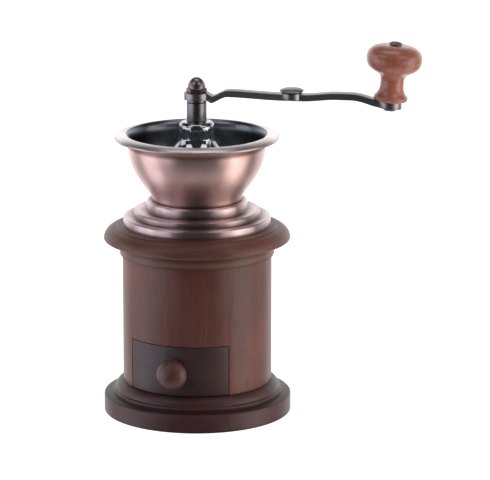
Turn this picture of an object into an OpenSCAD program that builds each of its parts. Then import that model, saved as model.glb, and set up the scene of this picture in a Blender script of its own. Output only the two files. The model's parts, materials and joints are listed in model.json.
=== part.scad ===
// Hand-cranked burr coffee grinder: a round wooden body with a drawer, an open metal
// hopper bowl, and a long crank with a turned wooden knob.
// Millimetres, +Z up. The origin is the centre of the underside, and the drawer opens along -Y.

/* [Body] */
// Diameter of the round wooden body
body_d = 84.6; // [84:0.2:104]
// Height of the body, from the base to the top ring
body_h = 73.3; // [60:0.1:90]
// Thickness of the body's wooden wall
body_wall = 8.3; // [7.2:0.1:9]
// Height of the base, from the table to the body
base_h = 18.5; // [15:0.1:23]
// How far the base stands out beyond the body
base_overhang = 11; // [8:0.1:14]
// Thickness of the non-slip pad under the base
pad_t = 1.6; // [1.2:0.1:2.2]

/* [Top ring and collar] */
// Height of the wooden ring under the collar
ring_h = 17.3; // [16:0.1:21]
// How far the ring's bead stands out beyond the body
ring_overhang = 10.6; // [8:0.1:13]
// Height of the collar's lowest step
collar_step_1_h = 4.8; // [4:0.1:6]
// Height of the collar's middle step
collar_step_2_h = 3.5; // [3:0.1:5]
// Height of the collar's top step
collar_step_3_h = 5.9; // [5:0.1:8]

/* [Hopper] */
// Diameter of the bowl over its rolled rim
bowl_d = 93.2; // [92:0.2:112]
// Height of the bowl, from the collar to the rim
bowl_h = 37.8; // [34:0.1:45]
// Thickness of the bowl's spun sheet
bowl_t = 1.4; // [1.2:0.1:1.7]
// Height of the bridge above the bowl's floor
bridge_h = 43.2; // [42:0.1:52]
// Radius of the circle the bridge's screws lie on
bridge_screw_r = 20.6; // [20.2:0.1:20.9]

/* [Burrs and shaft] */
// Outer diameter of the fixed outer burr
burr_d = 49.2; // [41:0.2:49.4]
// Height of the outer burr
burr_h = 15; // [14:0.1:16]
// Diameter of the main shaft
shaft_d = 8; // [6.6:0.1:8.4]
// Width over the flats that drive the crank
shaft_flats = 6; // [5.2:0.1:6.2]
// Rise of the burr for one turn of the adjusting nut
adjust_pitch = 1; // [0.8:0.05:1]
// Number of cutting teeth round the inner burr
inner_teeth = 14; // [10:1:18]
// Number of grooves round the outer burr
outer_grooves = 24; // [16:1:30]

/* [Crank] */
// Distance from the shaft to the knob's pin
crank_reach = 109.6; // [91:0.1:132]
// Direction the crank points, in degrees from +X
crank_angle = 7; // [-45:1:45]
// Width of the crank arm
arm_w = 7.2; // [6:0.1:8.8]
// Thickness of the crank arm
arm_t = 3.5; // [2.9:0.1:4.2]
// Distance from the shaft to the round boss on the arm
boss_reach = 54.2; // [45:0.1:60]
// Diameter of the domed cap on the boss
boss_d = 13.5; // [11.2:0.1:16.2]
// Lean of the knob away from the shaft, in degrees
knob_lean = 5; // [0:0.5:8]
// Largest diameter of the crank knob
knob_d = 31.3; // [27:0.1:38]
// Height of the crank knob
knob_h = 31.6; // [27:0.1:38]

/* [Drawer] */
// Width of the drawer's front
drawer_w = 56.6; // [47:0.1:58]
// Height of the drawer's front
drawer_h = 28; // [23:0.1:33]
// Thickness of the drawer's side, back and floor boards
drawer_board = 2.6; // [2:0.1:3.2]
// Diameter of the round drawer pull
pull_d = 17.3; // [14.5:0.1:20]
// How far the drawer pull stands out from the front
pull_l = 11.8; // [10:0.1:14]

/* [Fits] */
// Gap all round the drawer
drawer_gap = 0.4; // [0.25:0.05:0.5]
// Gap round parts that are glued or screwed in place
seat_gap = 0.2; // [0.1:0.05:0.3]
// Running clearance round the shaft and the knob's pin, on the radius
run_gap = 0.06; // [0.03:0.01:0.1]
// End gap between parts that turn against each other
end_gap = 0.3; // [0.25:0.05:0.4]

/* [Hidden] */
$fn = 96;
eps = 0.01;

// Heights
pad_reveal = 0.3;
opening_top = base_h + drawer_h + 2 * drawer_gap;
chute_z = opening_top + 4.9;
chute_t = 6;
ring_z = base_h + body_h;
collar_z = ring_z + ring_h;
collar_top = collar_z + collar_step_1_h + collar_step_2_h + collar_step_3_h;
bowl_floor = collar_top + 1.5;
bowl_top = collar_top + bowl_h;
burr_top = collar_top - 3.8;
burr_z = burr_top - burr_h;
bridge_top = bowl_floor + bridge_h;
nut_z = bridge_top + end_gap;
nut_h = 10.8;
washer_z = nut_z + nut_h + end_gap;
washer_t = 0.9;
eye_z = washer_z + washer_t + end_gap;
eye_t = 3.9;
shaft_end = burr_z - 9.5;
rotor_nut_z = burr_z - 3.5;

// Radii
body_r = body_d / 2;
base_r = body_r + base_overhang;
inner_r = body_r - body_wall;
socket_r = inner_r + 3.5;
shaft_r = shaft_d / 2;
bore_r = shaft_r + run_gap;
burr_r = burr_d / 2;
throat_r = burr_r - 7.6;
flange_r = burr_r + 5.3;
flange_t = 3;
burr_screw_r = burr_r + 2.7;
ring_bore_r = flange_r + 0.6;
bowl_r = bowl_d / 2;
bowl_wall_r = bowl_r - 7.7;
bowl_foot_r = bowl_r - 21.1;
collar_1_r = body_r - 0.5;
collar_2_r = collar_1_r - 5.9;
collar_3_r = bowl_foot_r + 3.1;
collar_screw_r = ring_bore_r + 3.5;
bush_r = shaft_r + 2;

// Screws
screw_d = 3;
screw_head_r = 2.5;
wood_screw_d = 3.5;
wood_screw_head_r = 2.8;
screw_play = 0.1;
screw_depth = 4.4;

// Crank
rise = 2.2;
dip = 1.6;
sag = 1;
crest = 1.5;
eye_r = 7.15;
knob_eye_r = 6.5;
knob_eye_t = 3.6;
knob_eye_z = eye_z + 0.7;
knob_pin_r = 2.5;
knob_foot_z = knob_eye_t / 2 + 2 * end_gap;
stub_d = 6;
stub_h = 5.6;

// Drawer
drawer_z = base_h + drawer_gap;
box_half = drawer_w / 2 - 0.7;
box_h = drawer_h - 3;
box_back = sqrt(pow(inner_r - 1.5, 2) - pow(box_half, 2));
front_back = -sqrt(pow(body_r, 2) - pow(drawer_w / 2, 2)) + 3.2;
pull_z = drawer_z + drawer_h * 0.475;
pull_seat = body_r - 0.6;

function lerp(a, b, t) = a + (b - a) * t;
function ease(t) = let(u = min(1, max(0, t))) u * u * (3 - 2 * u);
function bezier(a, b, c, d, n) = [for (i = [0:n]) let(t = i / n, s = 1 - t)
  s * s * s * a + 3 * s * s * t * b + 3 * s * t * t * c + t * t * t * d];
function arc(centre, rx, rz, from, to, n) = [for (i = [0:n])
  let(t = from + (to - from) * i / n) centre + [rx * cos(t), rz * sin(t)]];

// Copies the child round the axis, count times, starting at a given angle
module around(count, start) {
  for (i = [0:count - 1]) rotate([0, 0, start + i * 360 / count]) children();
}

// A pan-head screw that points up, with the underside of its head at the origin
module screw(shank_d, length, head_r, head_h) {
  translate([0, 0, -head_h]) difference() {
    cylinder(r = head_r, h = head_h);
    translate([-head_r, -0.4, -eps]) cube([2 * head_r, 0.8, 0.7]);
  }
  translate([0, 0, -eps]) cylinder(d = shank_d, h = length + eps);
}

// A plain hole for a screw, from one height up to another
module screw_hole(shank_d, bottom, top) {
  translate([0, 0, bottom]) cylinder(d = shank_d + 2 * screw_play, h = top - bottom);
}

// A round bar with two flats, for the driving end of the shaft and the holes it fits
module flatted(d, flats, h) {
  intersection() {
    cylinder(d = d, h = h);
    translate([-d / 2, -flats / 2, 0]) cube([d, flats, h]);
  }
}

// Thin pad the grinder stands on
module base_pad() {
  color([0.09, 0.08, 0.08]) cylinder(r = base_r - 5, h = pad_t);
}

// Turned base with a plain band, a small step and a hollow moulding up to the body
module base_plinth() {
  ledge_z = base_h * 0.59;
  step_r = body_r + base_overhang * 0.44;
  color([0.29, 0.17, 0.15]) difference() {
    rotate_extrude() polygon(concat(
      [[0, pad_reveal], [base_r - 0.7, pad_reveal]],
      arc([base_r - 0.7, pad_reveal + 0.7], 0.7, 0.7, -90, 0, 8),
      arc([base_r - 1.2, ledge_z - 1.2], 1.2, 1.2, 0, 90, 8),
      [[base_r - 1.8, ledge_z + 0.3], [step_r + 1.1, ledge_z + 0.3]],
      arc([step_r, ledge_z + 1.5], 1.1, 1.2, -40, 90, 8),
      bezier([step_r - 0.3, ledge_z + 2.9], [step_r - 0.6, ledge_z + 5.4],
        [body_r + 2.6, base_h - 0.8], [body_r + 1, base_h], 12),
      [[0, base_h]]));
    translate([0, 0, -1]) cylinder(r = base_r - 5 + seat_gap, h = pad_t + 1);
    around(3, 90) translate([body_r - 4.1, 0, 0]) {
      screw_hole(wood_screw_d, 0, base_h + 1);
      cylinder(r = wood_screw_head_r + 0.4, h = pad_t + 4);
    }
  }
}

// Three wood screws that hold the base to the body
module base_screws() {
  color([0.5, 0.5, 0.5]) around(3, 90) translate([body_r - 4.1, 0, pad_t + 4])
    screw(wood_screw_d, base_h + 9 - pad_t, wood_screw_head_r, 2.4);
}

// Round body with a wide opening for the drawer and a deeper socket above it
module body_tube() {
  half = drawer_w / 2 + drawer_gap;
  color([0.42, 0.27, 0.22]) difference() {
    translate([0, 0, base_h]) cylinder(r = body_r, h = body_h, $fn = 160);
    translate([0, 0, base_h - 1]) cylinder(r = inner_r, h = body_h + 2);
    translate([0, 0, chute_z]) cylinder(r = socket_r, h = body_h);
    translate([-half, -body_r - 1, base_h - 1]) cube([2 * half, body_r + 1, opening_top - base_h + 1]);
    around(3, 90) translate([body_r - 4.1, 0, 0]) screw_hole(wood_screw_d, base_h - 1, base_h + 13.5);
  }
}

// Two strips that keep the drawer straight
module drawer_rails() {
  rail_x = box_half + drawer_gap + 0.2;
  rail_w = 2.8;
  rail_half = sqrt(pow(inner_r - 0.6, 2) - pow(rail_x + rail_w, 2));
  color([0.6, 0.42, 0.28]) for (side = [-1, 1])
    translate([side * (rail_x + rail_w / 2) - rail_w / 2, -rail_half, base_h]) cube([rail_w, 2 * rail_half, 6]);
}

// Board with a funnel that drops the grounds into the drawer
module chute_board() {
  color([0.55, 0.38, 0.25]) translate([0, 0, chute_z]) difference() {
    cylinder(r = socket_r - seat_gap, h = chute_t);
    translate([0, 0, -eps]) cylinder(r1 = inner_r * 0.44, r2 = inner_r * 0.9, h = chute_t + 2 * eps);
  }
}

// Turned ring with a neck, a bead that stands out and a rounded top
module top_ring() {
  bead_z = ring_h * 0.54;
  bead_r = body_r + ring_overhang;
  neck_r = body_r + 1.5;
  color([0.4, 0.25, 0.21]) difference() {
    union() {
      translate([0, 0, ring_z]) rotate_extrude($fn = 160) polygon(concat(
        [[ring_bore_r, 0], [body_r + 0.3, 0]],
        arc([neck_r - 1.1, 1.1], 1.1, 1.1, -90, 0, 8),
        [[neck_r, bead_z - 4.4], [neck_r + 0.6, bead_z - 2.6]],
        arc([body_r + 3.7, bead_z], ring_overhang - 3.7, 1.7, -90, 0, 12),
        arc([body_r + 2.9, bead_z], ring_overhang - 2.9, ring_h - bead_z - 1.4, 0, 90, 16),
        [[body_r + 2.6, ring_h], [ring_bore_r, ring_h]]));
      translate([0, 0, ring_z - 3.8]) difference() {
        cylinder(r = socket_r - seat_gap, h = 3.8 + eps);
        translate([0, 0, -1]) cylinder(r = ring_bore_r, h = 6);
      }
    }
    around(3, 30) translate([collar_screw_r, 0, 0]) {
      screw_hole(screw_d, ring_z - 5, collar_z + 1);
      translate([0, 0, ring_z - 5]) cylinder(r = wood_screw_head_r + 0.3, h = 4.2);
    }
  }
}

// Three screws up through the ring into the collar
module collar_screws() {
  color([0.5, 0.5, 0.5]) around(3, 30) translate([collar_screw_r, 0, ring_z - 0.8])
    screw(screw_d, ring_h + 0.8 + screw_depth - 0.6, wood_screw_head_r, 2.4);
}

// One rounded step of the collar, as points up its outer edge
function step_edge(r, low, high, round_r) = concat([[r, low]],
  arc([r - round_r, high - round_r], round_r, round_r, 0, 90, 8));

// Stepped metal collar that carries the bowl above it and the outer burr below it
module collar() {
  step_1 = collar_step_1_h;
  step_2 = step_1 + collar_step_2_h;
  top = collar_top - collar_z;
  color([0.55, 0.38, 0.33]) difference() {
    translate([0, 0, collar_z]) rotate_extrude($fn = 160) polygon(concat(
      [[burr_r + 0.4, 0]],
      step_edge(collar_1_r, 0, step_1, 1.3),
      step_edge(collar_2_r, step_1, step_2, 1.2),
      step_edge(collar_3_r, step_2, top, 1.6),
      [[throat_r, top], [throat_r, burr_top - collar_z], [burr_r + 0.4, burr_top - collar_z]]));
    around(3, 30) translate([collar_screw_r, 0, 0]) screw_hole(screw_d, collar_z - 1, collar_z + screw_depth);
    around(4, 45) translate([burr_screw_r, 0, 0]) screw_hole(screw_d, collar_z - 1, collar_z + screw_depth);
    around(2, 0) translate([burr_screw_r, 0, 0]) screw_hole(screw_d, collar_z - 1, collar_z + screw_depth);
    around(3, 90) translate([bridge_screw_r, 0, 0]) screw_hole(screw_d, burr_top - 1, collar_top + 1);
  }
}

// Fixed outer burr with a flange and upright cutting grooves
module outer_burr() {
  low_r = burr_r - 4;
  mid_z = burr_z + burr_h * 0.7;
  color([0.34, 0.34, 0.35]) difference() {
    union() {
      translate([0, 0, burr_z]) cylinder(r = burr_r, h = burr_h);
      translate([0, 0, collar_z - flange_t]) cylinder(r = flange_r, h = flange_t);
    }
    rotate_extrude() polygon([[0, burr_z - 1], [low_r + 0.3, burr_z - 1], [low_r, burr_z],
      [throat_r, mid_z], [throat_r, burr_top + 1], [0, burr_top + 1]]);
    around(outer_grooves, 0) translate([0, 0, burr_z - 1]) rotate([90, 0, 0]) linear_extrude(1.2, center = true)
      polygon([[throat_r - 1, 0], [low_r + 0.9, 0], [throat_r + 0.9, mid_z - burr_z + 1], [throat_r - 1, mid_z - burr_z + 1]]);
    around(4, 45) translate([burr_screw_r, 0, 0]) screw_hole(screw_d, burr_z - 1, collar_z + 1);
    around(2, 0) translate([burr_screw_r, 0, 0]) screw_hole(screw_d, burr_z - 1, collar_z + 1);
  }
}

// Four screws that hold the outer burr up against the collar
module burr_screws() {
  color([0.5, 0.5, 0.5]) around(4, 45) translate([burr_screw_r, 0, collar_z - flange_t])
    screw(screw_d, flange_t + screw_depth - 0.6, screw_head_r, 2);
}

// Bar under the burrs that carries the lower end of the shaft
module bearing_bar() {
  bar_z = shaft_end + 1.5;
  bar_t = 4;
  bar_w = 11;
  post_in = burr_r + 0.8;
  bar_half = burr_r + 4.7;
  color([0.45, 0.45, 0.46]) difference() {
    union() {
      translate([-bar_half, -bar_w / 2, bar_z]) cube([2 * bar_half, bar_w, bar_t]);
      translate([0, 0, bar_z]) cylinder(r = bush_r + 3, h = bar_t);
      for (side = [-1, 1]) translate([side * (post_in + bar_half) / 2 - (bar_half - post_in) / 2, -bar_w / 2, bar_z])
        cube([bar_half - post_in, bar_w, collar_z - flange_t - bar_z]);
    }
    translate([0, 0, bar_z - 1]) cylinder(r = bush_r, h = bar_t + 2);
    around(2, 0) translate([burr_screw_r, 0, 0]) screw_hole(screw_d, bar_z - 1, collar_z);
  }
}

// Two long screws that hold the bearing bar
module bearing_bar_screws() {
  bar_z = shaft_end + 1.5;
  color([0.5, 0.5, 0.5]) around(2, 0) translate([burr_screw_r, 0, bar_z])
    screw(screw_d, collar_z - bar_z + screw_depth - 0.6, screw_head_r, 2);
}

// Plain bearing in the bar
module lower_bushing() {
  color([0.72, 0.55, 0.3]) translate([0, 0, shaft_end + 1]) difference() {
    cylinder(r = bush_r - 0.05, h = 4.5);
    translate([0, 0, -1]) cylinder(r = bore_r, h = 7);
  }
}

// Spun bowl with a flat floor, a flared wall and a wide rolled rim
module hopper_bowl() {
  wall_z = bowl_h - 7;
  outer = bezier([bowl_foot_r, 0], [bowl_foot_r + 0.3, bowl_h * 0.177], [bowl_wall_r - 0.6, bowl_h * 0.354],
    [bowl_wall_r, wall_z], 24);
  inner = [for (i = [24:-1:2]) outer[i] - [bowl_t, 0]];
  color([0.6, 0.42, 0.36]) difference() {
    translate([0, 0, collar_top]) rotate_extrude($fn = 160) polygon(concat(
      [[throat_r, 0]],
      outer,
      bezier([bowl_wall_r + 0.1, wall_z + 1.2], [bowl_wall_r + 0.4, bowl_h - 4.2],
        [bowl_r - 5, bowl_h - 3.9], [bowl_r - 0.7, bowl_h - 2.9], 8),
      arc([bowl_r - 0.7, bowl_h - 2.2], 0.7, 0.7, -60, 60, 6),
      bezier([bowl_r - 0.7, bowl_h - 1.4], [bowl_r - 2.4, bowl_h - 0.2],
        [bowl_r - 4.8, bowl_h], [bowl_r - 6.6, bowl_h], 8),
      [[bowl_r - 6.9, bowl_h - 0.5]],
      bezier([bowl_r - 7.6, bowl_h - 1.2], [bowl_wall_r - 0.6, bowl_h - 3.2],
        [bowl_wall_r - bowl_t, wall_z + 3], [bowl_wall_r - bowl_t, wall_z + 0.6], 8),
      inner,
      [[bowl_foot_r - bowl_t - 1, 1.5], [throat_r, 1.5]]));
    around(3, 90) translate([bridge_screw_r, 0, 0]) screw_hole(screw_d, collar_top - 1, bowl_floor + 1);
  }
}

// Bridge over the hopper: a domed hub on three legs with screwed feet
module bridge() {
  rim_z = bridge_top - 19;
  leg_r = 18.3;
  leg_t = 2.8;
  leg_w = 9;
  foot_end = bowl_foot_r - bowl_t - 1.8;
  color([0.1, 0.1, 0.11]) difference() {
    union() {
      difference() {
        rotate_extrude() polygon(concat(
          [[bush_r, bridge_top]],
          arc([7.4, bridge_top - 2.4], 2.4, 2.4, 90, 0, 8),
          bezier([10, bridge_top - 7.4], [10.1, bridge_top - 11.4], [12.6, rim_z + 4.6], [leg_r, rim_z], 14),
          [[leg_r, bowl_floor], [leg_r - leg_t, bowl_floor]],
          bezier([leg_r - leg_t, rim_z], [11.6, rim_z + 3.4], [10, rim_z + 5], [9.4, bridge_top - 12], 8),
          [[bush_r, bridge_top - 12]]));
        translate([0, 0, bowl_floor - 1]) linear_extrude(rim_z - bowl_floor - 0.5) difference() {
          circle(r = leg_r + 2);
          around(3, 90) translate([0, -leg_w / 2]) square([leg_r + 3, leg_w]);
        }
      }
      around(3, 90) translate([leg_r - leg_t / 2, -leg_w / 2, bowl_floor])
        cube([foot_end - leg_r + leg_t / 2, leg_w, 2.5]);
    }
    around(3, 90) translate([bridge_screw_r, 0, 0]) screw_hole(screw_d, bowl_floor - 1, bowl_floor + 4);
  }
}

// Three screws through the bridge's feet and the bowl into the collar
module bridge_screws() {
  color([0.5, 0.5, 0.5]) around(3, 90) translate([bridge_screw_r, 0, bowl_floor + 2.5])
    rotate([180, 0, 0]) screw(screw_d, bowl_floor + 2.5 - burr_top - 0.4, 2.1, 1.6);
}

// Flanged bearing in the bridge
module upper_bushing() {
  color([0.72, 0.55, 0.3]) translate([0, 0, bridge_top - 13.5]) difference() {
    union() {
      cylinder(r = bush_r - 0.05, h = 13.4);
      cylinder(r = bush_r + 2, h = 1.5);
    }
    translate([0, 0, -1]) cylinder(r = bore_r, h = 16);
  }
}

// Coil spring that presses the shaft down on its adjusting nut
module spring() {
  wire_r = 0.65;
  coil_r = shaft_r + 2.2;
  top = bridge_top - 13.5 - 0.05;
  low = top - 13;
  color([0.6, 0.6, 0.6]) translate([0, 0, low])
    linear_extrude(height = top - low, twist = -360 * 5, slices = 120, convexity = 8, $fn = 10)
      translate([coil_r, 0]) scale([1, 1.9]) circle(r = wire_r);
}

// Long adjusting nut that stands on the bridge
module adjusting_nut() {
  color([0.3, 0.27, 0.25]) translate([0, 0, nut_z]) difference() {
    rotate_extrude() polygon([[bore_r, 0], [5.35, 0], [5.65, 0.3], [5.65, nut_h - 0.3], [5.35, nut_h], [bore_r, nut_h]]);
    around(12, 0) translate([5.65, 0, 1]) cylinder(r = 0.25, h = 2.4, $fn = 13);
  }
}

// Washer keyed to the shaft's flats
module lock_washer() {
  color([0.3, 0.27, 0.25]) translate([0, 0, washer_z]) difference() {
    cylinder(r = 5.65, h = washer_t);
    translate([0, 0, -1]) rotate([0, 0, crank_angle]) flatted(shaft_d + 2 * run_gap, shaft_flats + 2 * run_gap, washer_t + 2);
  }
}

// Main shaft with a journal at each end, driving flats and a threaded stub
module shaft() {
  flats_z = washer_z - adjust_pitch - 0.5;
  flats_top = eye_z + eye_t - 0.2;
  stub_r = min(stub_d, shaft_flats) / 2;
  color([0.55, 0.55, 0.56]) difference() {
    rotate_extrude() polygon([[0, shaft_end], [shaft_r - 0.6, shaft_end], [shaft_r, shaft_end + 0.6],
      [shaft_r, flats_top], [stub_r - 0.05, flats_top], [stub_r - 0.05, flats_top + stub_h],
      [0, flats_top + stub_h]]);
    rotate([0, 0, crank_angle]) for (side = [-1, 1])
      translate([-shaft_d, side * (shaft_flats + shaft_d) / 2 - shaft_d / 2, flats_z])
        cube([2 * shaft_d, shaft_d, flats_top - flats_z]);
  }
}

// Ring fixed on the shaft that the spring pushes on
module spring_collar() {
  top = bridge_top - 13.5 - 13.35;
  color([0.5, 0.5, 0.5]) translate([0, 0, top - 2.6]) difference() {
    cylinder(r = shaft_r + 3.6, h = 2.6);
    translate([0, 0, -1]) cylinder(r = bore_r, h = 5);
  }
}

// Turning inner burr: a toothed cone with feed wings on top
module inner_burr() {
  low_z = burr_z - 1;
  high_z = burr_top + 1.5;
  low_r = burr_r - 5.4;
  color([0.36, 0.36, 0.37]) difference() {
    union() {
      rotate_extrude() polygon([[0, low_z], [low_r, low_z], [low_r, low_z + 1], [low_r - 2.6, low_z + 7.5],
        [shaft_r + 4.5, high_z - 3.5], [shaft_r + 2.6, high_z], [0, high_z]]);
      around(inner_teeth, 0) rotate([90, 0, 0]) linear_extrude(1.5, center = true)
        polygon([[shaft_r + 2, low_z], [low_r + 0.6, low_z], [low_r + 0.6, low_z + 0.8],
          [low_r - 2, low_z + 7.4], [shaft_r + 4, low_z + 10]]);
      around(3, 20) rotate([90, 0, 0]) linear_extrude(2, center = true)
        polygon([[shaft_r + 2, low_z + 7], [low_r - 3.4, low_z + 8.5], [low_r - 4.6, high_z - 1.2],
          [low_r - 6.4, high_z - 0.2], [shaft_r + 2, high_z - 0.2]]);
    }
    translate([0, 0, low_z - 1]) cylinder(r = bore_r, h = high_z - low_z + 2);
  }
}

// Nut that clamps the inner burr on the shaft
module burr_nut() {
  color([0.5, 0.5, 0.5]) translate([0, 0, rotor_nut_z]) difference() {
    cylinder(r = shaft_r + 3.4, h = 2.5, $fn = 6);
    translate([0, 0, -1]) cylinder(r = bore_r, h = 5);
  }
}

// Places its child at the crank's hub, turned to the crank's direction
module on_crank() {
  rotate([0, 0, crank_angle]) children();
}

// Places its child on the knob's leaning pin, at the middle of the arm's end
module on_knob_pin() {
  on_crank() translate([crank_reach, 0, knob_eye_z]) rotate([0, knob_lean, 0]) children();
}

// Height of the arm's centre line, and its thickness, at a distance from the shaft
function arm_level(x) = eye_z + eye_t / 2 - dip * ease((x - 6.4) / 2.4)
  + (rise + dip) * ease((x - 8) / 10) - sag * ease((x - 19) / 30) + crest * ease((x - boss_reach - 6) / 20);
function arm_end_level(x) = knob_eye_z - tan(knob_lean) * (x - crank_reach);
function arm_end_share(x) = ease((x - crank_reach + 22) / 17);
function arm_z(x) = lerp(arm_level(x), arm_end_level(x), arm_end_share(x));
function arm_thick(x) = lerp(lerp(eye_t, arm_t, ease((x - 6) / 8)), knob_eye_t, arm_end_share(x));

// Crank arm: an eye on the shaft, a raised arm with a boss, and an eye for the knob
module crank_arm() {
  tip = crank_reach + knob_eye_r + 1;
  steps = 96;
  xs = [for (i = [0:steps]) lerp(-eye_r - 1, tip, i / steps)];
  color([0.29, 0.26, 0.24]) on_crank() difference() {
    union() {
      intersection() {
        rotate([90, 0, 0]) linear_extrude(30, center = true) polygon(concat(
          [for (x = xs) [x, arm_z(x) + arm_thick(x) / 2]],
          [for (i = [steps:-1:0]) [xs[i], arm_z(xs[i]) - arm_thick(xs[i]) / 2]]));
        translate([0, 0, eye_z - 10]) linear_extrude(30) {
          circle(r = eye_r);
          translate([0, -arm_w / 2]) square([crank_reach, arm_w]);
          translate([crank_reach, 0]) circle(r = knob_eye_r);
        }
      }
      translate([boss_reach, 0, arm_z(boss_reach) - arm_t / 2 + 0.6]) cylinder(r = boss_d / 2 - 0.9, h = arm_t);
    }
    translate([0, 0, eye_z - 1]) flatted(shaft_d + 2 * run_gap, shaft_flats + 2 * run_gap, eye_t + 2);
    translate([crank_reach, 0, knob_eye_z]) rotate([0, knob_lean, 0]) translate([0, 0, -5])
      cylinder(r = knob_pin_r + 0.05, h = 10);
  }
}

// Low domed cap on the arm's boss
module boss_cap() {
  cap_r = boss_d / 2;
  color([0.29, 0.26, 0.24]) on_crank() translate([boss_reach, 0, arm_z(boss_reach) + arm_t / 2 + 0.6])
    rotate_extrude() polygon(concat([[0, 0], [cap_r - 1.6, 0], [cap_r - 0.3, 0.8]],
      arc([cap_r - 0.5, 1.3], 0.5, 0.5, -50, 30, 4),
      bezier([cap_r - 0.3, 1.8], [cap_r - 1.6, 2.5], [cap_r - 3.6, 2.8], [0, 2.8], 12)));
}

// Domed nut that clamps the crank
module cap_nut() {
  hex_r = 5.9;
  hex_h = 2.8;
  dome_r = 5;
  dome_h = 5.9;
  hole_r = min(stub_d, shaft_flats) / 2 + run_gap;
  color([0.29, 0.26, 0.24]) translate([0, 0, eye_z + eye_t]) rotate([0, 0, 12]) difference() {
    union() {
      intersection() {
        cylinder(r = hex_r, h = hex_h, $fn = 6);
        rotate_extrude() polygon([[0, 0], [hex_r - 0.5, 0], [hex_r, 0.4], [hex_r, hex_h - 0.5],
          [hex_r - 0.9, hex_h], [0, hex_h]]);
      }
      translate([0, 0, hex_h - eps]) rotate_extrude() polygon(concat([[0, 0]], arc([0, 0], dome_r, dome_h, 0, 90, 16)));
    }
    translate([0, 0, -1]) cylinder(r = hole_r, h = stub_h + 1.3);
  }
}

// Pin through the knob, with a rivet head at each end
module knob_pin() {
  low = -knob_eye_t / 2;
  top = knob_foot_z + knob_h + end_gap;
  color([0.24, 0.22, 0.21]) on_knob_pin() union() {
    translate([0, 0, low - 1.5]) cylinder(r1 = knob_pin_r + 0.7, r2 = knob_pin_r + 1.6, h = 1.5);
    translate([0, 0, low - eps]) cylinder(r = knob_pin_r, h = top - low + 2 * eps);
    translate([0, 0, top]) rotate_extrude() polygon(concat([[0, 0], [3.65, 0]], arc([0, 0.3], 3.65, 1.3, 0, 90, 10)));
  }
}

// Thin washer under the knob
module knob_washer() {
  color([0.5, 0.5, 0.5]) on_knob_pin() translate([0, 0, knob_eye_t / 2]) difference() {
    cylinder(r = 5.4, h = end_gap);
    translate([0, 0, -1]) cylinder(r = knob_pin_r + run_gap, h = 3);
  }
}

// Turned knob: a foot ring, a waist and a broad round head
module crank_knob() {
  knob_r = knob_d / 2;
  waist_r = knob_r * 0.42;
  waist_z = knob_h * 0.36;
  wide_z = knob_h * 0.765;
  color([0.6, 0.36, 0.3]) on_knob_pin() translate([0, 0, knob_foot_z]) rotate_extrude($fn = 128) polygon(concat(
    [[knob_pin_r + run_gap, 0], [knob_r * 0.52, 0]],
    arc([knob_r * 0.53, 1.6], knob_r * 0.085, 1.6, -80, 60, 8),
    bezier([knob_r * 0.54, 3.6], [knob_r * 0.44, 5.6], [waist_r, waist_z - 4.2], [waist_r, waist_z], 8),
    bezier([waist_r, waist_z], [waist_r, waist_z + 6.4], [knob_r, wide_z - 9.2], [knob_r, wide_z], 16),
    bezier([knob_r, wide_z], [knob_r, wide_z + 5.4], [knob_r * 0.66, knob_h], [knob_r * 0.25, knob_h], 14),
    [[knob_pin_r + run_gap, knob_h]]));
}

// Curved front of the drawer, flush with the body
module drawer_front() {
  color([0.25, 0.16, 0.15]) difference() {
    intersection() {
      translate([0, 0, drawer_z]) cylinder(r = body_r, h = drawer_h, $fn = 160);
      translate([-drawer_w / 2, -body_r - 1, drawer_z]) cube([drawer_w, body_r + 1 + front_back, drawer_h]);
    }
    translate([0, -pull_seat, pull_z]) rotate([90, 0, 0]) cylinder(r = pull_d * 0.32 + seat_gap, h = 3);
    translate([0, 0, pull_z]) rotate([90, 0, 0]) cylinder(d = screw_d + 2 * screw_play, h = body_r + 2);
  }
}

// Two side boards of the drawer
module drawer_sides() {
  color([0.62, 0.45, 0.3]) for (side = [-1, 1])
    translate([side * (box_half - drawer_board / 2) - drawer_board / 2, front_back, drawer_z])
      cube([drawer_board, box_back - front_back, box_h]);
}

// Back board of the drawer
module drawer_back() {
  color([0.62, 0.45, 0.3]) translate([drawer_board - box_half, box_back - drawer_board, drawer_z])
    cube([2 * (box_half - drawer_board), drawer_board, box_h]);
}

// Floor board of the drawer
module drawer_bottom() {
  color([0.62, 0.45, 0.3]) translate([drawer_board - box_half, front_back, drawer_z])
    cube([2 * (box_half - drawer_board), box_back - drawer_board - front_back, drawer_board]);
}

// Turned wooden pull on the drawer's front
module drawer_pull() {
  pull_r = pull_d / 2;
  foot_r = pull_d * 0.32;
  top = pull_l + body_r - pull_seat;
  wide = top * 0.44;
  color([0.3, 0.17, 0.15]) translate([0, -pull_seat, pull_z]) rotate([90, 0, 0]) difference() {
    rotate_extrude() polygon(concat([[0, 0], [foot_r, 0], [foot_r, 0.9]],
      bezier([foot_r - 0.4, 1.5], [foot_r - 0.2, 2.6], [pull_r, wide - 3.2], [pull_r, wide], 8),
      bezier([pull_r, wide], [pull_r, wide + 3.6], [pull_r * 0.55, top], [0, top], 14)));
    translate([0, 0, -1]) cylinder(d = screw_d + 2 * screw_play, h = 7.5);
  }
}

// Screw from inside the drawer into the pull
module pull_screw() {
  color([0.5, 0.5, 0.5]) translate([0, front_back, pull_z]) rotate([90, 0, 0])
    screw(screw_d, pull_seat + front_back + 6, screw_head_r, 2);
}

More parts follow.
